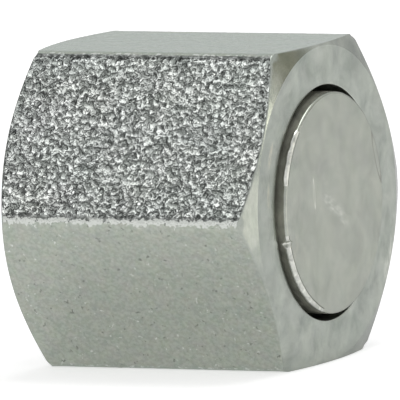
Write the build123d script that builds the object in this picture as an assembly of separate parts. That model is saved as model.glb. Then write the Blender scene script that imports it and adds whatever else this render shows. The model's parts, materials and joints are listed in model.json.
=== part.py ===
from build123d import *
from math import radians, sqrt, tan
import os

# Blanking cap for a face-seal tube fitting: a hexagon union nut that holds a loose closing plug.
# Lengths are in millimetres and angles in degrees. The thread's axis is X and the part lies on one
# flat, with +Z up. x = 0 is where the thread starts behind the mouth, and the plug's end is at +X.

# hexagon of the nut
across_flats = 24.0
corner_radius = 1.2  # rounding along the six long edges
nut_length = 21.4

# turned cones that take the hexagon's corners off at both ends, with angles from the end face
front_chamfer_angle = 21.0
front_circle_inset = 0.14  # the front face's circle lies this far inside the flats
mouth_chamfer_angle = 27.0
mouth_circle_inset = 0.05
chamfer_blend = 0.4  # rounds each cone into the long edges
chamfer_clearance = 0.02  # radial, from the long edges to where that rounding would end

# thread 13/16-16 UN, as a plain bore of its minor diameter
thread_major = 20.6375
thread_pitch = 1.5875
thread_minor = thread_major - 1.0825 * thread_pitch
countersink_depth = 1.2  # 45 degree lead-in at the mouth
relief_length = 1.6  # groove in which the tap runs out
relief_depth = 0.2  # below the thread's root

# wall at the front end, which holds the plug by its flange
web_thickness = 5.0
hole_edge_break = 0.1

# closing plug, put in through the mouth
flange_length = 3.0
flange_clearance = 0.1  # radial, in the bore
flange_step = 1.0  # the flange's radius beyond the spigot's
flange_chamfer = 0.4
flange_setback = 0.2  # from the relief groove to the flange's sealing face
spigot_clearance = 0.5  # radial, in the front hole
spigot_projection = 0.6  # beyond the nut's front face
spigot_chamfer = 0.2

# places along the axis
mouth_x = -countersink_depth
front_x = mouth_x + nut_length
shoulder_x = front_x - web_thickness
seal_face_x = shoulder_x - flange_length
relief_end_x = seal_face_x - flange_setback
thread_end_x = relief_end_x - relief_length
plug_end_x = front_x + spigot_projection

# radii
corner_reach = across_flats / sqrt(3) - corner_radius * (2 / sqrt(3) - 1)
bore_radius = thread_minor / 2
relief_radius = thread_major / 2 + relief_depth
flange_radius = bore_radius - flange_clearance
spigot_radius = flange_radius - flange_step
hole_radius = spigot_radius + spigot_clearance


def half_section(*profile):
    """Face in the XY plane, from its (x, radius) points."""
    return make_face(Polyline(*profile, close=True))


def turned(*profile):
    """Solid turned about X, from the (x, radius) points of its half section."""
    return revolve(half_section(*profile), Axis.X)


def hexagon_bar():
    """Hexagon bar with rounded long edges, and flats at its top and bottom."""
    hexagon = RegularPolygon(across_flats / 2, 6, major_radius=False)
    section = fillet(hexagon.vertices(), corner_radius)
    return extrude(Plane.YZ.offset(mouth_x) * section, nut_length)


def chamfer_envelope():
    """Turned shape with a cone blended in at each end, which the bar is cut down to."""
    outer_radius = corner_reach + chamfer_clearance
    front_circle = across_flats / 2 - front_circle_inset
    mouth_circle = across_flats / 2 - mouth_circle_inset
    front_cone = (outer_radius - front_circle) * tan(radians(front_chamfer_angle))
    mouth_cone = (outer_radius - mouth_circle) * tan(radians(mouth_chamfer_angle))
    section = half_section(
        (mouth_x, 0),
        (mouth_x, mouth_circle),
        (mouth_x + mouth_cone, outer_radius),
        (front_x - front_cone, outer_radius),
        (front_x, front_circle),
        (front_x, 0),
    )
    outer_corners = section.vertices().group_by(Axis.Y)[-1]
    return revolve(fillet(outer_corners, chamfer_blend), Axis.X)


def nut_bore():
    """What is turned out of the nut: lead-in, threaded bore, relief groove and front hole."""
    return turned(
        (mouth_x, 0),
        (mouth_x, bore_radius + countersink_depth),
        (0, bore_radius),
        (thread_end_x, bore_radius),
        (thread_end_x, relief_radius),
        (relief_end_x, relief_radius),
        (relief_end_x, bore_radius),
        (shoulder_x, bore_radius),
        (shoulder_x, hole_radius),
        (front_x - hole_edge_break, hole_radius),
        (front_x, hole_radius + hole_edge_break),
        (front_x, 0),
    )


def union_nut():
    return (hexagon_bar() & chamfer_envelope()) - nut_bore()


def closing_plug():
    """Flange with its sealing face towards the mouth, and the spigot that fills the front hole."""
    return turned(
        (seal_face_x, 0),
        (seal_face_x, flange_radius - flange_chamfer),
        (seal_face_x + flange_chamfer, flange_radius),
        (shoulder_x, flange_radius),
        (shoulder_x, spigot_radius),
        (plug_end_x - spigot_chamfer, spigot_radius),
        (plug_end_x, spigot_radius - spigot_chamfer),
        (plug_end_x, 0),
    )


os.makedirs("parts", exist_ok=True)
export_step(union_nut(), "parts/union_nut.step")
export_step(closing_plug(), "parts/closing_plug.step")
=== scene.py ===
import json
import math

import bpy
import bmesh
from mathutils import Matrix, Vector, noise


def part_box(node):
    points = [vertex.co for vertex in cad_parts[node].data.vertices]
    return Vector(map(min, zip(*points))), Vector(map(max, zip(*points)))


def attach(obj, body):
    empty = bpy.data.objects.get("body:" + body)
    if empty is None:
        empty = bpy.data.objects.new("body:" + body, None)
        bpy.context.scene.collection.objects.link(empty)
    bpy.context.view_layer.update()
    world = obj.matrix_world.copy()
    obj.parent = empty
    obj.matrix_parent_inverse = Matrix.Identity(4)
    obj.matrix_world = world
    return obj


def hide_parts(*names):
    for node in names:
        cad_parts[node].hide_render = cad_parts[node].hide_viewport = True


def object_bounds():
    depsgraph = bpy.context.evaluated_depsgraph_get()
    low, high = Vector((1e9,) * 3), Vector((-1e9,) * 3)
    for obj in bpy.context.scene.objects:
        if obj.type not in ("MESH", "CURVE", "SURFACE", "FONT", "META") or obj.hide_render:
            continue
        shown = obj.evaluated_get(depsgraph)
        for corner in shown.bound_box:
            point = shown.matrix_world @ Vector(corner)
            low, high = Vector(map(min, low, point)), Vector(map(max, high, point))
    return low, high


mm = 0.001

print("loading the CAD frame")
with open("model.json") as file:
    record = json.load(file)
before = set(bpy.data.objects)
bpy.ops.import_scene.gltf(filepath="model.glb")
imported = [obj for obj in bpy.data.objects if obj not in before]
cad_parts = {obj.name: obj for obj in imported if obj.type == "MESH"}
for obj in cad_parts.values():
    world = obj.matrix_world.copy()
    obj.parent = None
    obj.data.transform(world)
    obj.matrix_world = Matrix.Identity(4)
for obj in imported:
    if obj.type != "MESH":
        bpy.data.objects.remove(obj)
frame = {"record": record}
cadLow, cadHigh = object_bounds()
nutLow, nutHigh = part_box("union_nut")
plugLow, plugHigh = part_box("closing_plug")
threadMount = next(m for m in frame["record"]["mounts"] if m["name"] == "thread")


# shapes that both pieces use

def pointOnAxis(x, radius, angle):
    return Vector((x, radius * math.cos(angle), radius * math.sin(angle)))


def addRing(mesh, points):
    return [mesh.verts.new(p) for p in points]


def joinRings(mesh, first, second, material):  # rings of the same count
    count = len(first)
    faces = []
    for i in range(count):
        j = (i + 1) % count
        face = mesh.faces.new((first[i], first[j], second[j], second[i]))
        face.material_index = material
        faces.append(face)
    return faces


def zipRings(mesh, first, second, material):  # rings of different counts, both going round from -Y
    def turn(vert):
        return math.atan2(vert.co.z, vert.co.y)

    a = sorted(first, key=turn)
    b = sorted(second, key=turn)
    i = j = 0
    while i < len(a) or j < len(b):
        nextA = turn(a[i + 1]) if i + 1 < len(a) else turn(a[0]) + 2 * math.pi
        nextB = turn(b[j + 1]) if j + 1 < len(b) else turn(b[0]) + 2 * math.pi
        if j == len(b) or (i < len(a) and nextA <= nextB):
            corners = (a[i % len(a)], a[(i + 1) % len(a)], b[j % len(b)])
            i += 1
        else:
            corners = (a[i % len(a)], b[(j + 1) % len(b)], b[j % len(b)])
            j += 1
        face = mesh.faces.new(corners)
        face.material_index = material


def roughness(point, grain, octaves=2):  # smooth noise between about -1 and 1, with cells of one grain
    total, reach = 0.0, 1.0
    for k in range(octaves):
        total += reach * noise.noise(point * (2 ** k / grain) + Vector((31.7 * k, 0, 0)))
        reach *= 0.5
    return total


def finishMesh(mesh, name, materials):
    bmesh.ops.remove_doubles(mesh, verts=mesh.verts, dist=0.0005 * mm)
    bmesh.ops.recalc_face_normals(mesh, faces=mesh.faces)
    for face in mesh.faces:
        face.smooth = True
    data = bpy.data.meshes.new(name)
    mesh.to_mesh(data)
    mesh.free()
    piece = bpy.data.objects.new(name, data)
    bpy.context.scene.collection.objects.link(piece)
    for material in materials:
        data.materials.append(material)
    weighted = piece.modifiers.new("even shading", "WEIGHTED_NORMAL")
    weighted.keep_sharp = True
    return piece


# materials

def nodeOf(tree, kind, place, **values):
    node = tree.nodes.new(kind)
    node.location = place
    for key, value in values.items():
        setattr(node, key, value)
    return node


def setInputs(node, **values):
    for key, value in values.items():
        node.inputs[key.replace("_", " ")].default_value = value


def newGroup(name, inputs, outputs):
    group = bpy.data.node_groups.new(name, "ShaderNodeTree")
    for key, value in inputs.items():
        group.interface.new_socket(key, in_out="INPUT", socket_type="NodeSocketFloat").default_value = value
    for key, kind in outputs.items():
        group.interface.new_socket(key, in_out="OUTPUT", socket_type="NodeSocket" + kind)
    start = nodeOf(group, "NodeGroupInput", (-1400, 0))
    end = nodeOf(group, "NodeGroupOutput", (900, 0))
    return group, start, end


def grainGroup():  # coarse pickled grain that the plating follows: rounded hills, with a crest mask for painted highlight on the hills and painted shade in the valleys
    group, start, end = newGroup("pickledGrain", {"Scale": 2500},
                                 {"Height": "Float", "Peaks": "Float", "Pits": "Float"})
    link = group.links.new
    place = nodeOf(group, "ShaderNodeTexCoord", (-1400, -250))
    hills = nodeOf(group, "ShaderNodeTexNoise", (-900, 250))
    setInputs(hills, Detail=2.0, Roughness=0.5, Distortion=0.35)
    link(place.outputs["Object"], hills.inputs["Vector"])
    link(start.outputs["Scale"], hills.inputs["Scale"])
    cells = nodeOf(group, "ShaderNodeTexVoronoi", (-900, -50), feature="SMOOTH_F1")
    setInputs(cells, Smoothness=0.5, Randomness=1.0)
    link(place.outputs["Object"], cells.inputs["Vector"])
    link(start.outputs["Scale"], cells.inputs["Scale"])
    part = nodeOf(group, "ShaderNodeMath", (-700, -50), operation="MULTIPLY")
    part.inputs[1].default_value = 0.3
    link(cells.outputs["Distance"], part.inputs[0])
    mix = nodeOf(group, "ShaderNodeMath", (-500, 100), operation="SUBTRACT")
    link(hills.outputs["Fac"], mix.inputs[0])
    link(part.outputs[0], mix.inputs[1])
    # light on the crests and dark in the valleys: painted highlight and painted shade that stand in for the
    # grain's glints
    peaks = nodeOf(group, "ShaderNodeMapRange", (-200, 250), interpolation_type="SMOOTHSTEP")
    setInputs(peaks, From_Min=0.20, From_Max=0.56)
    link(mix.outputs[0], peaks.inputs["Value"])
    wander = nodeOf(group, "ShaderNodeTexNoise", (-1300, -550))
    setInputs(wander, Scale=2600.0, Detail=2.0)
    link(place.outputs["Object"], wander.inputs["Vector"])
    shift = nodeOf(group, "ShaderNodeVectorMath", (-1100, -550), operation="SCALE")
    shift.inputs["Scale"].default_value = 0.9 * mm
    link(wander.outputs["Color"], shift.inputs[0])
    moved = nodeOf(group, "ShaderNodeVectorMath", (-950, -450), operation="ADD")
    link(place.outputs["Object"], moved.inputs[0])
    link(shift.outputs["Vector"], moved.inputs[1])
    sparse = nodeOf(group, "ShaderNodeTexVoronoi", (-750, -350))
    setInputs(sparse, Scale=1150.0)
    link(moved.outputs["Vector"], sparse.inputs["Vector"])
    pits = nodeOf(group, "ShaderNodeMapRange", (-500, -350), interpolation_type="SMOOTHSTEP")
    setInputs(pits, From_Min=0.05, From_Max=0.21, To_Min=1, To_Max=0)
    link(sparse.outputs["Distance"], pits.inputs["Value"])
    link(mix.outputs[0], end.inputs["Height"])
    link(peaks.outputs["Result"], end.inputs["Peaks"])
    link(pits.outputs["Result"], end.inputs["Pits"])
    return group


def edgeGroup():  # long edges where the plating is worn bright in a ragged band, with a painted highlight along the middle of the -Y edge
    group, start, end = newGroup("rubbedEdges", {"Ragged": 1}, {"Mask": "Float"})
    link = group.links.new
    place = nodeOf(group, "ShaderNodeTexCoord", (-1400, 100))
    rub = nodeOf(group, "ShaderNodeAttribute", (-800, -200), attribute_name="rub")
    ragged = nodeOf(group, "ShaderNodeTexNoise", (-1000, 100))
    setInputs(ragged, Scale=2300.0, Detail=3.0, Roughness=0.65)
    link(place.outputs["Object"], ragged.inputs["Vector"])
    centred = nodeOf(group, "ShaderNodeMath", (-800, 100), operation="SUBTRACT")
    centred.inputs[1].default_value = 0.5
    link(ragged.outputs["Fac"], centred.inputs[0])
    swing = nodeOf(group, "ShaderNodeMath", (-500, 0), operation="MULTIPLY_ADD")
    link(centred.outputs[0], swing.inputs[0])
    link(start.outputs["Ragged"], swing.inputs[1])
    link(rub.outputs["Fac"], swing.inputs[2])
    mask = nodeOf(group, "ShaderNodeMapRange", (200, 0), interpolation_type="SMOOTHSTEP")
    setInputs(mask, From_Min=0.45, From_Max=0.62)
    link(swing.outputs[0], mask.inputs["Value"])
    link(mask.outputs["Result"], end.inputs["Mask"])
    return group


def markGroup():  # one mark on a turned end: a streaky oval, or only its outline; light ones are rubbed wear, dark ones painted shade
    group, start, end = newGroup("rubbedMark", {"Y": 0, "Z": 0, "Turn": 0, "Length": mm, "Width": mm},
                                 {"Patch": "Float", "Outline": "Float"})
    link = group.links.new
    place = nodeOf(group, "ShaderNodeTexCoord", (-1400, -250))
    centre = nodeOf(group, "ShaderNodeCombineXYZ", (-1200, 100))
    link(start.outputs["Y"], centre.inputs["Y"])
    link(start.outputs["Z"], centre.inputs["Z"])
    turn = nodeOf(group, "ShaderNodeCombineXYZ", (-1200, -50))
    link(start.outputs["Turn"], turn.inputs["X"])
    moved = nodeOf(group, "ShaderNodeVectorMath", (-1000, 0), operation="SUBTRACT")
    link(place.outputs["Object"], moved.inputs[0])
    link(centre.outputs["Vector"], moved.inputs[1])
    turned = nodeOf(group, "ShaderNodeVectorRotate", (-800, 0), rotation_type="EULER_XYZ", invert=True)
    link(moved.outputs["Vector"], turned.inputs["Vector"])
    link(turn.outputs["Vector"], turned.inputs["Rotation"])
    size = nodeOf(group, "ShaderNodeCombineXYZ", (-800, -200))
    size.inputs["X"].default_value = 1
    link(start.outputs["Length"], size.inputs["Y"])
    link(start.outputs["Width"], size.inputs["Z"])
    scaled = nodeOf(group, "ShaderNodeVectorMath", (-600, 0), operation="DIVIDE")
    link(turned.outputs["Vector"], scaled.inputs[0])
    link(size.outputs["Vector"], scaled.inputs[1])
    onPlane = nodeOf(group, "ShaderNodeVectorMath", (-450, 0), operation="MULTIPLY")
    onPlane.inputs[1].default_value = (0, 1, 1)
    link(scaled.outputs["Vector"], onPlane.inputs[0])
    away = nodeOf(group, "ShaderNodeVectorMath", (-300, 0), operation="LENGTH")
    link(onPlane.outputs["Vector"], away.inputs[0])
    inside = nodeOf(group, "ShaderNodeMapRange", (-100, 100), interpolation_type="SMOOTHSTEP")
    setInputs(inside, From_Min=0.3, From_Max=1, To_Min=1, To_Max=0)
    link(away.outputs["Value"], inside.inputs["Value"])
    streaks = nodeOf(group, "ShaderNodeTexNoise", (-300, -300))
    setInputs(streaks, Scale=1.0, Detail=4.0, Roughness=0.7)
    drawn = nodeOf(group, "ShaderNodeMapping", (-600, -300))
    drawn.inputs["Scale"].default_value = (2000, 1500, 7500)
    link(turned.outputs["Vector"], drawn.inputs["Vector"])
    link(drawn.outputs["Vector"], streaks.inputs["Vector"])
    cut = nodeOf(group, "ShaderNodeMapRange", (-100, -300), interpolation_type="SMOOTHSTEP")
    setInputs(cut, From_Min=0.35, From_Max=0.75)
    link(streaks.outputs["Fac"], cut.inputs["Value"])
    patch = nodeOf(group, "ShaderNodeMath", (200, 100), operation="MULTIPLY")
    link(inside.outputs["Result"], patch.inputs[0])
    link(cut.outputs["Result"], patch.inputs[1])
    offset = nodeOf(group, "ShaderNodeMath", (-100, -100), operation="SUBTRACT")
    offset.inputs[1].default_value = 0.8
    link(away.outputs["Value"], offset.inputs[0])
    near = nodeOf(group, "ShaderNodeMath", (60, -100), operation="ABSOLUTE")
    link(offset.outputs[0], near.inputs[0])
    line = nodeOf(group, "ShaderNodeMapRange", (220, -100), interpolation_type="SMOOTHSTEP")
    setInputs(line, From_Min=0.05, From_Max=0.2, To_Min=1, To_Max=0)
    link(near.outputs[0], line.inputs["Value"])
    link(patch.outputs[0], end.inputs["Patch"])
    link(line.outputs["Result"], end.inputs["Outline"])
    return group


def blotchGroup():  # clouds in the passivated zinc, with a faint trace of green, pink and straw
    group, start, end = newGroup("zincBlotches", {"Scale": 260, "Change": 0.06, "Tint": 0.1},
                                 {"Color": "Color"})
    link = group.links.new
    place = nodeOf(group, "ShaderNodeTexCoord", (-1400, -250))
    cloud = nodeOf(group, "ShaderNodeTexNoise", (-900, 200))
    setInputs(cloud, Detail=5.0, Roughness=0.62, Distortion=0.4)
    link(place.outputs["Object"], cloud.inputs["Vector"])
    link(start.outputs["Scale"], cloud.inputs["Scale"])
    split = nodeOf(group, "ShaderNodeSeparateColor", (-650, 200))
    link(cloud.outputs["Color"], split.inputs["Color"])
    shade = nodeOf(group, "ShaderNodeMath", (-650, 500), operation="SUBTRACT")
    shade.inputs[1].default_value = 0.5
    link(cloud.outputs["Fac"], shade.inputs[0])
    shaded = nodeOf(group, "ShaderNodeMath", (-450, 500), operation="MULTIPLY_ADD")
    shaded.inputs[2].default_value = 1
    link(shade.outputs[0], shaded.inputs[0])
    link(start.outputs["Change"], shaded.inputs[1])
    join = nodeOf(group, "ShaderNodeCombineColor", (300, 200))
    for k, channel in enumerate(("Red", "Green", "Blue")):
        centred = nodeOf(group, "ShaderNodeMath", (-400, 300 - 150 * k), operation="SUBTRACT")
        centred.inputs[1].default_value = 0.5
        link(split.outputs[channel], centred.inputs[0])
        level = nodeOf(group, "ShaderNodeMath", (-150, 300 - 150 * k), operation="MULTIPLY_ADD")
        link(centred.outputs[0], level.inputs[0])
        link(start.outputs["Tint"], level.inputs[1])
        link(shaded.outputs[0], level.inputs[2])
        link(level.outputs[0], join.inputs[channel])
    link(join.outputs["Color"], end.inputs["Color"])
    return group


def turnedGroup():  # rings left by the lathe tool about the axis, and fine scratches across them
    group, start, end = newGroup("turnedRings", {"Rings": 9000, "Scratches": 0.4}, {"Height": "Float"})
    link = group.links.new
    place = nodeOf(group, "ShaderNodeTexCoord", (-1400, -250))
    split = nodeOf(group, "ShaderNodeSeparateXYZ", (-1200, -250))
    link(place.outputs["Object"], split.inputs["Vector"])
    flat = nodeOf(group, "ShaderNodeCombineXYZ", (-1000, -250))
    link(split.outputs["Y"], flat.inputs["X"])
    link(split.outputs["Z"], flat.inputs["Y"])
    radius = nodeOf(group, "ShaderNodeVectorMath", (-800, -250), operation="LENGTH")
    link(flat.outputs["Vector"], radius.inputs[0])
    rings = nodeOf(group, "ShaderNodeTexNoise", (-500, 100), noise_dimensions="1D")
    setInputs(rings, Detail=2.0, Roughness=0.5)
    link(radius.outputs["Value"], rings.inputs["W"])
    link(start.outputs["Rings"], rings.inputs["Scale"])
    stretch = nodeOf(group, "ShaderNodeMapping", (-800, -500))
    stretch.inputs["Rotation"].default_value = (0.5, 0, 0)
    stretch.inputs["Scale"].default_value = (2500, 5200, 420)
    link(place.outputs["Object"], stretch.inputs["Vector"])
    scratches = nodeOf(group, "ShaderNodeTexNoise", (-500, -500))
    setInputs(scratches, Scale=1.0, Detail=3.0, Roughness=0.6)
    link(stretch.outputs["Vector"], scratches.inputs["Vector"])
    level = nodeOf(group, "ShaderNodeMath", (-200, -300), operation="MULTIPLY")
    link(scratches.outputs["Fac"], level.inputs[0])
    link(start.outputs["Scratches"], level.inputs[1])
    total = nodeOf(group, "ShaderNodeMath", (100, 0), operation="ADD")
    link(rings.outputs["Fac"], total.inputs[0])
    link(level.outputs[0], total.inputs[1])
    link(total.outputs[0], end.inputs["Height"])
    return group


def zincShader(name, finish):
    material = bpy.data.materials.new(name)
    material.use_nodes = True
    tree = material.node_tree
    shader = tree.nodes["Principled BSDF"]
    shader.inputs["Metallic"].default_value = finish["metallic"]
    shader.inputs["Roughness"].default_value = finish["roughness"]
    shader.inputs["Specular Tint"].default_value = (*finish["edgeTint"], 1)
    return material, tree, shader


def blotchedColour(tree, finish, base=None):  # the zinc's colour under its clouds
    blotches = nodeOf(tree, "ShaderNodeGroup", (-900, 400), node_tree=zincBlotches)
    setInputs(blotches, Scale=finish["blotchScale"], Change=finish["blotchChange"],
              Tint=finish["blotchTint"])
    mixed = nodeOf(tree, "ShaderNodeMix", (-600, 400), data_type="RGBA", blend_type="MULTIPLY")
    mixed.inputs["Factor"].default_value = 1
    mixed.inputs["A"].default_value = (*finish["color"], 1)
    if base is not None:
        tree.links.new(base, mixed.inputs["A"])
    tree.links.new(blotches.outputs["Color"], mixed.inputs["B"])
    return mixed.outputs["Result"]


def tinted(tree, under, mask, color, strength, place):  # lays a colour over another by a mask
    amount = nodeOf(tree, "ShaderNodeMath", (place[0] - 200, place[1] - 150), operation="MULTIPLY")
    amount.inputs[1].default_value = strength
    tree.links.new(mask, amount.inputs[0])
    over = nodeOf(tree, "ShaderNodeMix", place, data_type="RGBA")
    over.inputs["B"].default_value = (*color, 1)
    tree.links.new(amount.outputs[0], over.inputs["Factor"])
    tree.links.new(under, over.inputs["A"])
    return over.outputs["Result"]


def drawnSteel(name, finish):  # flats of the bar, as they were before turning
    material, tree, shader = zincShader(name, finish)
    peel = nodeOf(tree, "ShaderNodeGroup", (-1300, 0), node_tree=pickledGrain)
    setInputs(peel, Scale=finish["grainScale"])
    height = nodeOf(tree, "ShaderNodeBump", (-300, -200))
    setInputs(height, Strength=1, Distance=finish["grainDepth"])
    tree.links.new(peel.outputs["Height"], height.inputs["Height"])
    tree.links.new(height.outputs["Normal"], shader.inputs["Normal"])
    # the grain's colour: painted shade in the valleys, painted highlight on the crests
    grain = nodeOf(tree, "ShaderNodeMix", (-1100, 300), data_type="RGBA")
    grain.inputs["A"].default_value = (*finish["valleyShadeColor"], 1)
    grain.inputs["B"].default_value = (*finish["crestHighlightColor"], 1)
    tree.links.new(peel.outputs["Peaks"], grain.inputs["Factor"])
    color = blotchedColour(tree, finish, grain.outputs["Result"])
    color = tinted(tree, color, peel.outputs["Pits"], finish["pitColor"], finish["pitStrength"],
                   (-300, 400))
    edges = nodeOf(tree, "ShaderNodeGroup", (-900, -400), node_tree=rubbedEdges)
    setInputs(edges, Ragged=finish["ragged"])
    # worn edges, with a painted highlight along the middle of the -Y edge
    color = tinted(tree, color, edges.outputs["Mask"], finish["wornAndHighlightColor"], 1, (-100, 400))
    tree.links.new(color, shader.inputs["Base Color"])
    return material


def turnedSteel(name, finish, marks=()):  # marks are rows like nut["marks"]
    material, tree, shader = zincShader(name, finish)
    lines = nodeOf(tree, "ShaderNodeGroup", (-900, 0), node_tree=turnedRings)
    setInputs(lines, Rings=finish["rings"], Scratches=finish["scratches"])
    height = nodeOf(tree, "ShaderNodeBump", (-300, -200))
    setInputs(height, Strength=1, Distance=finish["lineDepth"])
    tree.links.new(lines.outputs["Height"], height.inputs["Height"])
    tree.links.new(height.outputs["Normal"], shader.inputs["Normal"])
    color = blotchedColour(tree, finish)
    # each mark tints the colour: rubbed wear, and painted shade where its tone is dark
    for k, (kind, y, z, turn, length, width, tone, strength) in enumerate(marks):
        mark = nodeOf(tree, "ShaderNodeGroup", (-900, -400 - 250 * k), node_tree=rubbedMark)
        setInputs(mark, Y=y * mm, Z=z * mm, Turn=math.radians(turn),
                  Length=length * mm, Width=width * mm)
        color = tinted(tree, color, mark.outputs[kind], tone, strength, (-300, 600 + 250 * k))
    tree.links.new(color, shader.inputs["Base Color"])
    return material


print("mixing the materials")
pickledGrain = grainGroup()
rubbedEdges = edgeGroup()
rubbedMark = markGroup()
zincBlotches = blotchGroup()
turnedRings = turnedGroup()
zinc = {
    "color": (0.415, 0.44, 0.405),
    "edgeTint": (0.62, 0.62, 0.62),  # at grazing angles
    "metallic": 1,
    "roughness": 0.25,
    "blotchScale": 260,
    "blotchChange": 0.45,
    "blotchTint": 0.07,
    "pitColor": (0.16, 0.17, 0.15),
    "pitStrength": 0.5,
    "ragged": 3.0,
    # tone of the worn edges and of the painted highlight on the -Y edge
    "wornAndHighlightColor": (0.55, 0.57, 0.54),
}
bright, dark, warm = (0.62, 0.63, 0.58), (0.2, 0.2, 0.18), (0.60, 0.57, 0.46)  # colours of marks: rubbed wear, painted shade and a warm tone


# hexagon nut

nut = {
    "flats": nutHigh.z - nutLow.z,
    "cornerRadius": 1.2 * mm,
    "cornerSteps": 12,
    "flatSteps": 70,
    "lengthSteps": 116,
    "frontAngle": math.radians(21),
    "frontCircle": 11.86 * mm,
    "mouthAngle": math.radians(27),
    "mouthCircle": 11.95 * mm,
    "blend": 0.4 * mm,  # rounds the cones into the long edges
    "blendClearance": 0.02 * mm,
    "edgeRound": 0.09 * mm,
    "coneSteps": 6,
    "skinGrain": 0.62 * mm,  # shallow dents in the flats
    "skinDepth": 0.022 * mm,
    "skinSwell": 2.6 * mm,  # and longer waves
    "swellDepth": 0.008 * mm,
    # a band along the middle of each long edge: worn plating, and on the -Y edge also a painted highlight
    "bandShift": 0.4,  # degrees about the axis, as is the next
    "bandHalf": 0.9,
    "rubElsewhere": 0.5,  # on the other five edges
    "nick": Vector((5.9, -6.75, -11.9)) * mm,  # a knock in a long edge
    "nickSize": 0.5 * mm,
    "nickDepth": 0.3 * mm,
    "rolledSides": (2, 5),  # the two opposite flats that the rolls left rough, counted from +Y
    "boreColumns": 240,
    "minor": threadMount["dims"]["r_mm"] * mm,
    "pitch": 1.5875 * mm,
    "threadLength": threadMount["dims"]["length_mm"] * mm,
    "reliefLength": 1.6 * mm,
    "reliefRadius": 10.519 * mm,
    "web": 5.0 * mm,
    "hole": 8.8595 * mm,
    "joinBand": 0.15 * mm,  # plain bands on the end faces, beside their mixed triangles
    "joinGap": 0.12 * mm,
    "faceRings": 6,
    "smoothFlats": {
        "edgeTint": (0.74, 0.78, 0.77),
        "grainScale": 3400,
        "grainDepth": 0.02 * mm,
        # faint painted shade and painted highlight in the smooth flats' grain
        "valleyShadeColor": (0.337, 0.362, 0.318),
        "crestHighlightColor": (0.392, 0.417, 0.372),
        "blotchScale": 1100,
        "blotchChange": 0.2,
        "blotchTint": 0.16,
        "pitStrength": 0.75,
    },
    "roughFlats": {
        "roughness": 0.17,
        "grainScale": 2500,
        "grainDepth": 0.085 * mm,
        # strong painted shade and painted highlight in the rough flats' grain
        "valleyShadeColor": (0.125, 0.134, 0.126),
        "crestHighlightColor": (0.415, 0.433, 0.416),
        "pitStrength": 0.3,
    },
    "ends": {
        "color": (0.337, 0.360, 0.326),
        "roughness": 0.22,
        "blotchScale": 480,
        "blotchChange": 1.0,
        "rings": 9000,
        "scratches": 0.8,
        "lineDepth": 0.007 * mm,
    },
    "bore": {"roughness": 0.35, "rings": 6000, "scratches": 0.3, "lineDepth": 0.004 * mm},
    # marks on the ends: kind, y, z, turn in degrees, half length, half width, color, strength
    "marks": (
        ("Patch", 10.6, -5.6, 75, 2.6, 1.0, bright, 1.0),
        ("Patch", 9.6, -6.4, 70, 1.6, 0.6, bright, 0.8),
        ("Patch", -9.3, 4.6, 65, 1.6, 0.4, warm, 1.0),
        ("Patch", -9.9, 1.6, 85, 1.4, 0.35, warm, 0.9),
        # painted reflection: a dark patch on the front by corner A
        ("Patch", -6.6, 9.6, 40, 1.5, 0.5, dark, 0.6),
    ),
}
nut["major"] = nut["minor"] + 0.54125 * nut["pitch"]
nut["countersink"] = nut["minor"] - nutLow.x  # 45 degree lead-in that ends at x = 0
nut["cornerReach"] = nut["flats"] / math.sqrt(3) - nut["cornerRadius"] * (2 / math.sqrt(3) - 1)

drawnFlats = drawnSteel("drawnFlats", zinc | nut["smoothFlats"])
rolledFlats = drawnSteel("rolledFlats", zinc | nut["roughFlats"])
turnedEnds = turnedSteel("turnedEnds", zinc | nut["ends"], nut["marks"])
threadedBore = turnedSteel("threadedBore", zinc | nut["bore"])


def hexagonOutline():  # (y, z) of each column, corner by corner
    columns = []
    centreOut = (nut["flats"] / 2 - nut["cornerRadius"]) / math.cos(math.radians(30))
    for side in range(6):
        corner = math.radians(60 * side)
        cy, cz = centreOut * math.cos(corner), centreOut * math.sin(corner)
        for step in range(nut["cornerSteps"] + 1):
            turn = corner + math.radians(-30 + 60 * step / nut["cornerSteps"])
            ny, nz = nut["cornerRadius"] * math.cos(turn), nut["cornerRadius"] * math.sin(turn)
            columns.append((cy + ny, cz + nz))
        lastY, lastZ = columns[-1]
        following = math.radians(60 * (side + 1))
        nextY = centreOut * math.cos(following) + ny
        nextZ = centreOut * math.sin(following) + nz
        for step in range(1, nut["flatSteps"]):
            share = step / nut["flatSteps"]
            columns.append((lastY + (nextY - lastY) * share, lastZ + (nextZ - lastZ) * share))
    return columns


def coneDepth(radius, circle, angle):  # depth and slope of the blended cone at a radius
    outer, blend = nut["cornerReach"] + nut["blendClearance"], nut["blend"]
    middle = outer - blend
    if radius <= middle + blend * math.sin(angle):
        return max(0, radius - circle) * math.tan(angle), angle
    slope = math.asin((radius - middle) / blend)
    middleDepth = (blend + (middle - circle) * math.sin(angle)) / math.cos(angle)
    return middleDepth - blend * math.cos(slope), slope


def endCurve(reach, circle, angle):  # (depth, radius) from the end face over the cone to the flat
    edgeDepth, slope = coneDepth(reach, circle, angle)
    toCone, toFlat = math.tan(angle / 2), math.tan((math.pi / 2 - slope) / 2)
    slant = (reach - circle) / math.cos(angle)
    r = min(nut["edgeRound"], 0.9 * slant / (toCone + toFlat))
    faceRadius = circle - r * toCone
    curve = [(r - r * math.cos(angle * s / 3), faceRadius + r * math.sin(angle * s / 3)) for s in range(4)]
    flatDepth = edgeDepth + r * toFlat
    first, last = curve[-1][1], reach - r + r * math.sin(slope)
    for step in range(1, nut["coneSteps"]):
        radius = first + (last - first) * step / nut["coneSteps"]
        curve.append((coneDepth(radius, circle, angle)[0], radius))
    for step in range(5):
        turn = slope + (math.pi / 2 - slope) * step / 4
        curve.append((flatDepth - r * math.cos(turn), reach - r + r * math.sin(turn)))
    return curve


def threadRadius(phase):  # internal thread form over one pitch, from 0 to 1
    phase %= 1
    rise = 0.3125
    if phase < 0.25:
        share = 0
    elif phase < 0.25 + rise:
        share = (phase - 0.25) / rise
    elif phase < 1 - rise:
        share = 1
    else:
        share = (1 - phase) / rise
    return nut["minor"] + (nut["major"] - nut["minor"]) * share


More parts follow.
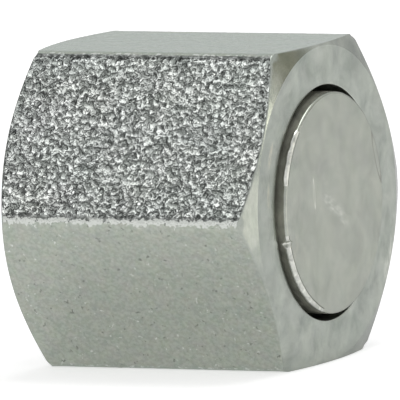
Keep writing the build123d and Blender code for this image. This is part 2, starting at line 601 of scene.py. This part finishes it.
def threadRings(mesh):
    start, end = nutLow.x, nut["threadLength"]
    turns = math.ceil((end - start) / nut["pitch"]) + 1
    marks = [t + f for t in range(turns) for f in (0, 0.25, 0.40, 0.5625, 0.6875, 0.85)]
    columns = nut["boreColumns"]
    rings = []
    for mark in marks + [turns]:
        ring = []
        for i in range(columns):
            angle = 2 * math.pi * i / columns
            x = start + nut["pitch"] * (mark - 1 + angle / (2 * math.pi))
            x = min(max(x, start), end)
            phase = (x - start) / nut["pitch"] - angle / (2 * math.pi)
            cone = nut["countersink"] - (x - start)
            ring.append(pointOnAxis(x, max(threadRadius(phase), cone), angle))
        rings.append(addRing(mesh, ring))
    return rings


def endFace(mesh, outer, x, inner, material):  # fills a flat end, with the join in a narrow band
    last = []
    for vert in outer:
        radius = math.hypot(vert.co.y, vert.co.z) - nut["joinBand"]
        last.append(mesh.verts.new(pointOnAxis(x, radius, math.atan2(vert.co.z, vert.co.y))))
    joinRings(mesh, outer, last, material)
    start = math.hypot(last[0].co.y, last[0].co.z) - nut["joinGap"]
    end = math.hypot(inner[0].co.y, inner[0].co.z) + nut["joinBand"]
    angles = [math.atan2(v.co.z, v.co.y) for v in inner]
    for step in range(nut["faceRings"]):
        radius = start + (end - start) * step / (nut["faceRings"] - 1)
        ring = addRing(mesh, [pointOnAxis(x, radius, a) for a in angles])
        (joinRings if step else zipRings)(mesh, last, ring, material)
        last = ring
    joinRings(mesh, last, inner, material)


def rubbed(y, z):  # how bright a long edge is painted: worn plating on all six, most along the middle of the -Y edge, where it is also a painted highlight
    turn = math.degrees(math.atan2(z, y)) % 60
    turn = turn - 60 if turn > 30 else turn
    off = abs(turn + nut["bandShift"]) / nut["bandHalf"]
    outermost = abs(z) < nut["cornerRadius"] and y < 0
    return max(0, (1 if outermost else nut["rubElsewhere"]) - 0.5 * off)


def clamped(value):
    return min(max(value, 0), 1)


def hollow(point, share):  # how far the rolled skin lies below its high spots, growing from the ends
    fadeSteps = nut["lengthSteps"] / 4
    fade = min(1, share * fadeSteps, (1 - share) * fadeSteps)
    waves = clamped(0.5 + 0.5 * roughness(point, nut["skinGrain"]))
    swell = clamped(0.5 + 0.5 * roughness(point + Vector((9, 5, 2)), nut["skinSwell"], 1))
    nick = max(0, 1 - (point - nut["nick"]).length / nut["nickSize"])
    return nut["nickDepth"] * nick + fade * (nut["skinDepth"] * waves + nut["swellDepth"] * swell)


def buildNut():
    mesh = bmesh.new()
    rub = mesh.verts.layers.float.new("rub")
    frontX = nutHigh.x
    rows = []
    for y, z in hexagonOutline():
        reach = math.hypot(y, z)
        mouth = endCurve(reach, nut["mouthCircle"], nut["mouthAngle"])
        front = endCurve(reach, nut["frontCircle"], nut["frontAngle"])
        column = [(nutLow.x + d, r) for d, r in mouth]
        x0, x1 = column[-1][0], frontX - front[-1][0]
        uy, uz = y / reach, z / reach
        for step in range(1, nut["lengthSteps"]):
            share = step / nut["lengthSteps"]
            x = x0 + (x1 - x0) * share
            column.append((x, reach - hollow(Vector((x, y, z)), share)))
        column += [(frontX - d, r) for d, r in reversed(front)]
        rows.append([(x, uy * r, uz * r) for x, r in column])
    rings = [addRing(mesh, [row[k] for row in rows]) for k in range(len(rows[0]))]
    endRows = len(mouth) - 1
    for ring in rings[endRows - 2:len(rings) + 2 - endRows]:
        for vert in ring:
            vert[rub] = rubbed(vert.co.y, vert.co.z)
    side = nut["cornerSteps"] + nut["flatSteps"]
    middle = nut["cornerSteps"] // 2
    for k, (a, b) in enumerate(zip(rings, rings[1:])):
        onFlat = endRows <= k < len(rings) - 1 - endRows
        faces = joinRings(mesh, a, b, 0 if onFlat else 1)
        for i, face in enumerate(faces if onFlat else ()):
            if (i - middle) % len(a) // side in nut["rolledSides"]:
                face.material_index = 3
    thread = threadRings(mesh)
    for a, b in zip(thread, thread[1:]):
        joinRings(mesh, a, b, 2)
    endFace(mesh, rings[0], nutLow.x, thread[0], 1)
    columns = nut["boreColumns"]
    angles = [2 * math.pi * i / columns for i in range(columns)]
    reliefEnd = nut["threadLength"] + nut["reliefLength"]
    shoulder = frontX - nut["web"]
    r = nut["edgeRound"]
    turned = [
        (nut["threadLength"], nut["reliefRadius"]),
        (reliefEnd, nut["reliefRadius"]),
        (reliefEnd, nut["minor"] + r),
        (reliefEnd + r, nut["minor"]),
        (shoulder, nut["minor"]),
        (shoulder, nut["hole"] + r),
        (shoulder + r, nut["hole"]),
        (frontX - r, nut["hole"]),
        (frontX - 0.3 * r, nut["hole"] + 0.3 * r),
        (frontX, nut["hole"] + r),
    ]
    last = thread[-1]
    for x, radius in turned:
        ring = addRing(mesh, [pointOnAxis(x, radius, a) for a in angles])
        joinRings(mesh, last, ring, 2)
        last = ring
    endFace(mesh, rings[-1], frontX, last, 1)
    return finishMesh(mesh, "hexagonNut", [drawnFlats, turnedEnds, threadedBore, rolledFlats])


print("turning the nut")
hexagonNut = buildNut()
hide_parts("union_nut")
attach(hexagonNut, "nut")


# closing plug

plug = {
    "columns": 480,
    "flange": plugHigh.z,
    "flangeLength": 3.0 * mm,
    "flangeChamfer": 0.4 * mm,
    "spigot": 8.3595 * mm,
    "rim": 0.16 * mm,
    "wideRim": (-170, -108, 0.09 * mm),  # from and to in degrees, and how much wider the rim is there
    "burr": (132, 164, 0.19 * mm),  # from and to in degrees, and how far the ragged lip stands out
    "nick": (-165, 2.2, 0.35 * mm),  # where, half its width in degrees, and its depth
    "raggedGrain": 0.8 * mm,
    "lineInsets": (0.05 * mm, 0.11 * mm),  # a painted shade line inside the painted highlight on the rim
    "faceRadii": (7.6 * mm, 6.0 * mm, 4.5 * mm, 3.0 * mm, 1.5 * mm),
    "turned": {
        "color": (0.348, 0.365, 0.325),
        "roughness": 0.26,
        "blotchScale": 420,
        "blotchChange": 0.6,
        "rings": 8000,
        "scratches": 0.6,
        "lineDepth": 0.005 * mm,
    },
    # darker and strongly blotched: partly the wall's own tone, partly painted shade in the gap between plug
    # and nut
    "wall": {
        "color": (0.33, 0.335, 0.28),
        "metallic": 0.55,
        "roughness": 0.55,
        "blotchScale": 420,
        "blotchChange": 2.4,
        "rings": 5000,
        "scratches": 0.8,
        "lineDepth": 0.01 * mm,
    },
    # painted highlight: the glint on the rim's edge break at the lower left and over the burr
    "highlitRimFinish": {
        "color": (0.52, 0.53, 0.49),
        "roughness": 0.3,
        "blotchScale": 1800,
        "blotchChange": 1.8,
        "rings": 5000,
        "scratches": 0.8,
        "lineDepth": 0.006 * mm,
    },
    # painted shade: a dark line just inside that highlight
    "shadedRimFinish": {
        "color": (0.10, 0.105, 0.09),
        "blotchScale": 1500,
        "blotchChange": 1.2,
        "rings": 5000,
        "scratches": 0.8,
        "lineDepth": 0.004 * mm,
    },
    # marks on the end, in rows like the nut's
    "marks": (
        ("Patch", -0.4, -0.1, -27, 3.0, 0.8, bright, 0.6),
        ("Patch", 1.3, -1.3, -35, 1.6, 0.6, bright, 0.6),
        ("Outline", -3.4, 1.1, 94, 1.3, 0.14, bright, 0.8),
        # painted shade: a dark line along the right edge of the spigot's end
        ("Outline", 7.45, 2.55, 108, 2.4, 0.36, dark, 0.6),
        ("Patch", -6.9, -2.6, 70, 1.6, 0.5, warm, 0.3),
    ),
}

turnedPlug = turnedSteel("turnedPlug", zinc | plug["turned"], plug["marks"])
spigotWall = turnedSteel("spigotWall", zinc | plug["wall"])
rimBright = turnedSteel("rimBright", zinc | plug["highlitRimFinish"])
rimDark = turnedSteel("rimDark", zinc | plug["shadedRimFinish"])


def within(angle, low, high, soft=4):  # 1 between two angles in degrees, easing to 0 outside
    turn = math.degrees(angle)
    turn = turn - 360 if turn > 180 else turn
    return clamped(min((turn - low) / soft, (high - turn) / soft))


def rimPoints(angle):  # (x, radius) over the spigot's rim: its lip, its break and its end
    endX = plugHigh.x
    ragged = 0.5 + 0.5 * roughness(pointOnAxis(0, plug["spigot"], angle), plug["raggedGrain"])
    width = plug["rim"] + within(angle, *plug["wideRim"][:2], 12) * plug["wideRim"][2]
    width += 0.05 * mm * ragged
    lip = within(angle, *plug["burr"][:2]) * plug["burr"][2] * (0.35 + 0.65 * ragged)
    place, half, depth = plug["nick"]
    cut = within(angle, place - half, place + half, half) * depth
    spigot = plug["spigot"] - 0.4 * cut
    points = [(endX - 2.2 * width - cut, spigot), (endX - 1.2 * width - cut, spigot + lip)]
    for step in range(5):
        turn = math.pi / 2 * step / 4
        points.append((endX - width + width * math.sin(turn) - cut * (1 - step / 5),
                       spigot + lip * (1 - step / 4) - width + width * math.cos(turn) - 0.5 * cut))
    return points


def buildPlug():
    mesh = bmesh.new()
    columns = plug["columns"]
    angles = [2 * math.pi * i / columns for i in range(columns)]
    sealX, endX = plugLow.x, plugHigh.x
    profile = [
        (sealX, 4.5 * mm),
        (sealX, plug["flange"] - plug["flangeChamfer"]),
        (sealX + plug["flangeChamfer"], plug["flange"]),
        (sealX + plug["flangeLength"], plug["flange"]),
        (sealX + plug["flangeLength"], plug["spigot"]),
    ]
    rings = [addRing(mesh, [pointOnAxis(x, r, a) for a in angles]) for x, r in profile]
    rim = [rimPoints(a) for a in angles]
    for k in range(len(rim[0])):
        rings.append(addRing(mesh, [pointOnAxis(*rim[i][k], a) for i, a in enumerate(angles)]))
    for inset in plug["lineInsets"]:
        radii = [rim[i][-1][1] - inset for i in range(columns)]
        rings.append(addRing(mesh, [pointOnAxis(endX, r, a) for r, a in zip(radii, angles)]))
    for radius in plug["faceRadii"]:
        rings.append(addRing(mesh, [pointOnAxis(endX, radius, a) for a in angles]))
    # the rim faces at the wide rim and the burr take the painted highlight, and a ring just inside them the
    # painted shade
    rubbedParts = (plug["wideRim"][:2], plug["burr"][:2])
    wallBands, rimBands, lineBand = (4, 5, 6), (6, 7, 8, 9, 10), 12
    for k, (a, b) in enumerate(zip(rings, rings[1:])):
        faces = joinRings(mesh, a, b, 1 if k in wallBands else 0)
        for i, face in enumerate(faces if k in (*rimBands, lineBand) else ()):
            if any(within(angles[i], *ends, 1) > 0 for ends in rubbedParts):
                face.material_index = 3 if k == lineBand else 2
    for x, ring in ((sealX, rings[0]), (endX, rings[-1])):
        centre = mesh.verts.new((x, 0, 0))
        for i in range(columns):
            mesh.faces.new((centre, ring[i], ring[(i + 1) % columns]))
    return finishMesh(mesh, "flangedPlug", [turnedPlug, spigotWall, rimBright, rimDark])


print("turning the plug")
flangedPlug = buildPlug()
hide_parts("closing_plug")
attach(flangedPlug, "plug")


# studio

studio = {
    "azimuth": math.radians(26.65),
    "elevation": math.radians(6.95),
    "roll": math.radians(-2.40),
    "distance": 1.2,
    "lens": 1432.4,
    "aim": Vector(((nutLow.x + nutHigh.x) / 2, 0, 0)),
    "floorColor": (0.8, 0.8, 0.8),
    "floorLift": 0.56,  # how much of the floor's white doesn't depend on the lamps
    "skyLevel": 0.5,  # on matt surfaces; it is white where it is seen or mirrored
    # cards: name, heading and height in degrees, distance, size, color, and a soft lamp in the middle
    "cards": (
        ("overheadCard", -129, 51, 0.9, (1.2, 0.66), (0.12, 0.12, 0.125),
         {"core": 0.03, "reach": 0.28, "level": (3.4, 3.4, 3.4)}),
        ("oliveCard", 46, 18.5, 0.5, (0.15, 0.14), (0.44, 0.42, 0.31)),
        ("creamCard", 30, 9.5, 0.5, (0.08, 0.065), (4.2, 4.05, 3.5)),
        ("warmCard", 15, -4, 0.06, (0.03, 0.016), (1.9, 1.85, 1.75)),
    ),
    "topLamp": ((0.1, 0.2, 1.0), (0.5, 0.5), 3),  # place, size and watts
}


def placeCamera():
    a, e = studio["azimuth"], studio["elevation"]
    back = Vector((math.sin(a) * math.cos(e), -math.cos(a) * math.cos(e), math.sin(e)))
    data = bpy.data.cameras.new("camera")
    data.lens = studio["lens"]
    data.clip_end = 10
    camera = bpy.data.objects.new("camera", data)
    bpy.context.scene.collection.objects.link(camera)
    camera.location = studio["aim"] + back * studio["distance"]
    turn = (-back).to_track_quat("-Z", "Y").to_matrix() @ Matrix.Rotation(studio["roll"], 3, "Z")
    camera.rotation_euler = turn.to_euler()
    bpy.context.scene.camera = camera


def seenWhite(tree, place):  # 1 for camera, glossy and transmission rays
    path = nodeOf(tree, "ShaderNodeLightPath", (place[0] - 400, place[1]))
    first = nodeOf(tree, "ShaderNodeMath", (place[0] - 200, place[1]), operation="MAXIMUM")
    second = nodeOf(tree, "ShaderNodeMath", place, operation="MAXIMUM")
    tree.links.new(path.outputs["Is Camera Ray"], first.inputs[0])
    tree.links.new(path.outputs["Is Glossy Ray"], first.inputs[1])
    tree.links.new(first.outputs[0], second.inputs[0])
    tree.links.new(path.outputs["Is Transmission Ray"], second.inputs[1])
    return second.outputs[0]


def layFloor():
    data = bpy.data.meshes.new("floor")
    data.from_pydata([(-3, -3, 0), (3, -3, 0), (3, 3, 0), (-3, 3, 0)], [], [(0, 1, 2, 3)])
    floor = bpy.data.objects.new("floor", data)
    bpy.context.scene.collection.objects.link(floor)
    floor.location.z = cadLow.z
    material = bpy.data.materials.new("floor")
    material.use_nodes = True
    tree = material.node_tree
    shader = tree.nodes["Principled BSDF"]
    shader.inputs["Base Color"].default_value = (*studio["floorColor"], 1)
    shader.inputs["Roughness"].default_value = 0.9
    shader.inputs["Emission Color"].default_value = (1, 1, 1, 1)
    lift = nodeOf(tree, "ShaderNodeMath", (-200, -300), operation="MULTIPLY")
    lift.inputs[1].default_value = studio["floorLift"]
    tree.links.new(seenWhite(tree, (-400, -300)), lift.inputs[0])
    tree.links.new(lift.outputs[0], shader.inputs["Emission Strength"])
    data.materials.append(material)


def paintSky():
    world = bpy.data.worlds.new("studio")
    bpy.context.scene.world = world
    world.use_nodes = True
    tree = world.node_tree
    sky = tree.nodes["Background"]
    white = nodeOf(tree, "ShaderNodeMix", (-300, 0), data_type="RGBA")
    white.inputs["A"].default_value = (*[studio["skyLevel"]] * 3, 1)
    white.inputs["B"].default_value = (1, 1, 1, 1)
    tree.links.new(seenWhite(tree, (-600, 0)), white.inputs["Factor"])
    tree.links.new(white.outputs["Result"], sky.inputs["Color"])


def setCard(name, heading, height, distance, size, level, glow=None):  # shows only in reflections
    data = bpy.data.meshes.new(name)
    w, h = size[0] / 2, size[1] / 2
    data.from_pydata([(-w, -h, 0), (w, -h, 0), (w, h, 0), (-w, h, 0)], [], [(0, 1, 2, 3)])
    card = bpy.data.objects.new(name, data)
    bpy.context.scene.collection.objects.link(card)
    a, e = math.radians(heading), math.radians(height)
    out = Vector((math.cos(a) * math.cos(e), math.sin(a) * math.cos(e), math.sin(e)))
    card.location = studio["aim"] + out * distance
    card.rotation_euler = out.to_track_quat("Z", "Y").to_euler()
    card.visible_camera = False
    card.visible_shadow = False
    card.visible_diffuse = False
    material = bpy.data.materials.new(name)
    material.use_nodes = True
    tree = material.node_tree
    shader = tree.nodes["Principled BSDF"]
    shader.inputs["Base Color"].default_value = (0, 0, 0, 1)
    shader.inputs["Specular IOR Level"].default_value = 0
    shader.inputs["Emission Color"].default_value = (*level, 1)
    shader.inputs["Emission Strength"].default_value = 1
    if glow:  # a soft lamp in the middle of the card
        place = nodeOf(tree, "ShaderNodeTexCoord", (-1100, 0))
        away = nodeOf(tree, "ShaderNodeVectorMath", (-900, 0), operation="LENGTH")
        spread = nodeOf(tree, "ShaderNodeMapRange", (-700, 0), interpolation_type="SMOOTHSTEP")
        setInputs(spread, From_Min=glow["core"], From_Max=glow["reach"], To_Min=1, To_Max=0)
        mixed = nodeOf(tree, "ShaderNodeMix", (-400, 0), data_type="RGBA")
        mixed.inputs["A"].default_value = (*level, 1)
        mixed.inputs["B"].default_value = (*glow["level"], 1)
        tree.links.new(place.outputs["Object"], away.inputs[0])
        tree.links.new(away.outputs["Value"], spread.inputs["Value"])
        tree.links.new(spread.outputs["Result"], mixed.inputs["Factor"])
        tree.links.new(mixed.outputs["Result"], shader.inputs["Emission Color"])
    data.materials.append(material)


def hangLamp(name, place, size, power):
    data = bpy.data.lights.new(name, "AREA")
    data.shape = "RECTANGLE"
    data.size, data.size_y = size
    data.energy = power
    lamp = bpy.data.objects.new(name, data)
    bpy.context.scene.collection.objects.link(lamp)
    lamp.location = place
    aim = studio["aim"] - Vector(place)
    lamp.rotation_euler = aim.to_track_quat("-Z", "Y").to_euler()


print("setting up the studio")
placeCamera()
layFloor()
paintSky()
for card in studio["cards"]:
    setCard(*card)
hangLamp("topLamp", *studio["topLamp"])
bpy.context.scene.view_settings.view_transform = "Standard"

print("done")
